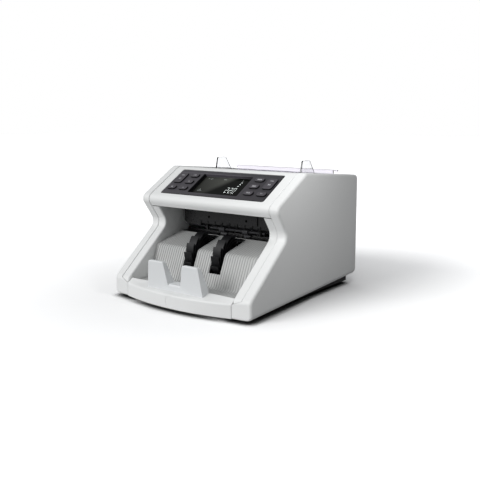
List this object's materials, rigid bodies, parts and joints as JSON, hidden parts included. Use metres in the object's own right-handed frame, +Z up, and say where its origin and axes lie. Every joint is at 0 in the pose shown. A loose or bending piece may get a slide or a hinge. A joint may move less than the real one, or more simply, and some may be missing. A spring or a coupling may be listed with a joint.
{
  "type": "banknote counting machine",
  "caption": "Desktop banknote counter: top hopper with clear width guides, sloped key and display panel, stacker wheels over a front pocket with two stops.",
  "frame": {"origin": "on the table, under the middle of the machine's outer box", "axes": "+X to the right seen from the front, +Y from the front lip to the rear, +Z up"},
  "size_m": [0.25, 0.295, 0.1965],
  "materials": {
    "housing": "moulded off-white ABS, fine satin grain",
    "base_black": "black ABS",
    "foot_rubber": "matt rubber",
    "stop_plastic": "light grey-white ABS",
    "ramp_plastic": "light grey ABS",
    "panel_charcoal": "charcoal satin",
    "key_charcoal": "charcoal satin",
    "display_glass": "dark glossy window",
    "circuit_board": "solder mask",
    "hopper_grey": "dark grey ABS",
    "clear_tint": "clear plastic with a faint violet tint",
    "clear": "clear plastic",
    "black_plastic": "black plastic",
    "nylon": "natural nylon",
    "roller_rubber": "ground rubber on steel",
    "wheel_rubber": "black flexible blades, slight gloss",
    "belt_rubber": "rubber belt",
    "steel": "zinc plated steel",
    "alu": "turned aluminium",
    "bush_bronze": "sintered bronze",
    "mech_black": "black plastic with a slight gloss"
  },
  "bodies": {
    "root": {"base_tray": "base_black", "rubber_feet": "foot_rubber", "side_cover_left": "housing", "side_cover_right": "housing", "cheek_left": "housing", "cheek_right": "housing", "top_cover": "housing", "rear_cover": "housing", "front_lip": "housing", "stacker_stop": "stop_plastic", "stacker_ramp": "ramp_plastic", "control_panel": "panel_charcoal", "display_window": "display_glass", "panel_board": "circuit_board", "hopper_floor": "hopper_grey", "hopper_frame": "hopper_grey", "rear_plate": "clear_tint", "retard_bracket": "steel", "main_motor": "steel", "stacker_motor": "steel", "drive_belts": "belt_rubber", "chassis_plates": "steel", "frame_spacers": "steel", "shaft_bushes": "bush_bronze", "sensor_carrier": "mech_black", "lower_guide": "mech_black", "sensor_boards": "circuit_board", "main_board": "circuit_board", "power_supply": "circuit_board", "mains_inlet": "black_plastic", "data_ports": "steel", "cover_screws": "steel"},
    "rear_door": {"rear_door": "housing"},
    "guide_left": {"guide_fin_left": "clear", "guide_carriage_left": "black_plastic"},
    "guide_right": {"guide_fin_right": "clear", "guide_carriage_right": "black_plastic"},
    "pinion": {"guide_pinion": "nylon"},
    "pickup": {"pickup_shaft": "roller_rubber"},
    "feed": {"feed_shaft": "steel", "feed_rollers": "roller_rubber"},
    "retard": {"retard_rollers": "roller_rubber"},
    "gap_screw": {"feed_gap_screw": "black_plastic"},
    "transport": {"transport_shaft": "roller_rubber"},
    "pinch": {"pinch_rollers": "roller_rubber"},
    "stacker": {"stacker_shaft": "steel", "stacker_wheels": "wheel_rubber"},
    "motor_rotor": {"motor_pulley": "alu"},
    "stacker_rotor": {"stacker_pulley": "alu"},
    "rocker": {"power_rocker": "black_plastic"},
    "key_l1": {"key_l1": "key_charcoal"},
    "key_l2": {"key_l2": "key_charcoal"},
    "key_l3": {"key_l3": "key_charcoal"},
    "key_l4": {"key_l4": "key_charcoal"},
    "key_l5": {"key_l5": "key_charcoal"},
    "key_r1": {"key_r1": "key_charcoal"},
    "key_r2": {"key_r2": "key_charcoal"},
    "key_r3": {"key_r3": "key_charcoal"},
    "key_r4": {"key_r4": "key_charcoal"},
    "key_r5": {"key_r5": "key_charcoal"}
  },
  "joints": [
    {"name": "key_l1_press", "type": "slide", "parent": "root", "child": "key_l1", "axis": [0, 0.5075, -0.8616], "range_m": [0, 0.001], "stiffness_N_per_m": 350, "springref_m": -0.001},
    {"name": "key_l2_press", "type": "slide", "parent": "root", "child": "key_l2", "axis": [0, 0.5075, -0.8616], "range_m": [0, 0.001], "stiffness_N_per_m": 350, "springref_m": -0.001},
    {"name": "key_l3_press", "type": "slide", "parent": "root", "child": "key_l3", "axis": [0, 0.5075, -0.8616], "range_m": [0, 0.001], "stiffness_N_per_m": 350, "springref_m": -0.001},
    {"name": "key_l4_press", "type": "slide", "parent": "root", "child": "key_l4", "axis": [0, 0.5075, -0.8616], "range_m": [0, 0.001], "stiffness_N_per_m": 350, "springref_m": -0.001},
    {"name": "key_l5_press", "type": "slide", "parent": "root", "child": "key_l5", "axis": [0, 0.5075, -0.8616], "range_m": [0, 0.001], "stiffness_N_per_m": 350, "springref_m": -0.001},
    {"name": "key_r1_press", "type": "slide", "parent": "root", "child": "key_r1", "axis": [0, 0.5075, -0.8616], "range_m": [0, 0.001], "stiffness_N_per_m": 350, "springref_m": -0.001},
    {"name": "key_r2_press", "type": "slide", "parent": "root", "child": "key_r2", "axis": [0, 0.5075, -0.8616], "range_m": [0, 0.001], "stiffness_N_per_m": 350, "springref_m": -0.001},
    {"name": "key_r3_press", "type": "slide", "parent": "root", "child": "key_r3", "axis": [0, 0.5075, -0.8616], "range_m": [0, 0.001], "stiffness_N_per_m": 350, "springref_m": -0.001},
    {"name": "key_r4_press", "type": "slide", "parent": "root", "child": "key_r4", "axis": [0, 0.5075, -0.8616], "range_m": [0, 0.001], "stiffness_N_per_m": 350, "springref_m": -0.001},
    {"name": "key_r5_press", "type": "slide", "parent": "root", "child": "key_r5", "axis": [0, 0.5075, -0.8616], "range_m": [0, 0.001], "stiffness_N_per_m": 350, "springref_m": -0.001},
    {"name": "rear_door_hinge", "type": "hinge", "parent": "root", "child": "rear_door", "pos_m": [0, 0.14483, 0.0649], "axis": [-1, 0, 0], "range_deg": [0, 75]},
    {"name": "guide_right_slide", "type": "slide", "parent": "root", "child": "guide_right", "axis": [1, 0, 0], "range_m": [-0.028, 0.01]},
    {"name": "guide_left_slide", "type": "slide", "parent": "root", "child": "guide_left", "axis": [1, 0, 0], "range_m": [-0.01, 0.028]},
    {"name": "guide_pinion_spin", "type": "hinge", "parent": "root", "child": "pinion", "pos_m": [0, 0.105, 0.137], "axis": [0, 0, 1], "range_deg": [-230, 82]},
    {"name": "feed_spin", "type": "hinge", "parent": "root", "child": "feed", "pos_m": [0, 0.014, 0.111], "axis": [1, 0, 0], "continuous": true},
    {"name": "motor_spin", "type": "hinge", "parent": "root", "child": "motor_rotor", "pos_m": [0.105, 0.062, 0.042], "axis": [1, 0, 0], "continuous": true},
    {"name": "pickup_spin", "type": "hinge", "parent": "root", "child": "pickup", "pos_m": [0, 0.0618, 0.1294], "axis": [1, 0, 0], "continuous": true},
    {"name": "transport_spin", "type": "hinge", "parent": "root", "child": "transport", "pos_m": [0, 0.006, 0.083], "axis": [1, 0, 0], "continuous": true},
    {"name": "pinch_spin", "type": "hinge", "parent": "root", "child": "pinch", "pos_m": [0, -0.004, 0.093], "axis": [1, 0, 0], "continuous": true},
    {"name": "retard_spin", "type": "hinge", "parent": "root", "child": "retard", "pos_m": [0, -0.0038, 0.1288], "axis": [1, 0, 0], "continuous": true},
    {"name": "stacker_spin", "type": "hinge", "parent": "root", "child": "stacker", "pos_m": [0, -0.04775, 0.058], "axis": [1, 0, 0], "continuous": true},
    {"name": "stacker_motor_spin", "type": "hinge", "parent": "root", "child": "stacker_rotor", "pos_m": [-0.105, -0.006, 0.036], "axis": [1, 0, 0], "continuous": true},
    {"name": "gap_screw_turn", "type": "hinge", "parent": "root", "child": "gap_screw", "pos_m": [0, 0.003, 0.15], "axis": [0, 0, 1], "range_deg": [-180, 180]},
    {"name": "power_rocker_tilt", "type": "hinge", "parent": "root", "child": "rocker", "pos_m": [0.042, 0.138, 0.035], "axis": [1, 0, 0], "range_deg": [0, 16]}
  ],
  "couplings": [
    {"joint": "guide_left_slide", "follows": "guide_right_slide", "ratio": -1},
    {"joint": "guide_pinion_spin", "follows": "guide_right_slide", "rad_per_m": 142.86},
    {"joint": "motor_spin", "follows": "feed_spin", "ratio": 1.75},
    {"joint": "pickup_spin", "follows": "feed_spin", "ratio": 1},
    {"joint": "transport_spin", "follows": "feed_spin", "ratio": 1.75},
    {"joint": "pinch_spin", "follows": "feed_spin", "ratio": -3.2474},
    {"joint": "stacker_motor_spin", "follows": "stacker_spin", "ratio": 1.5}
  ]
}
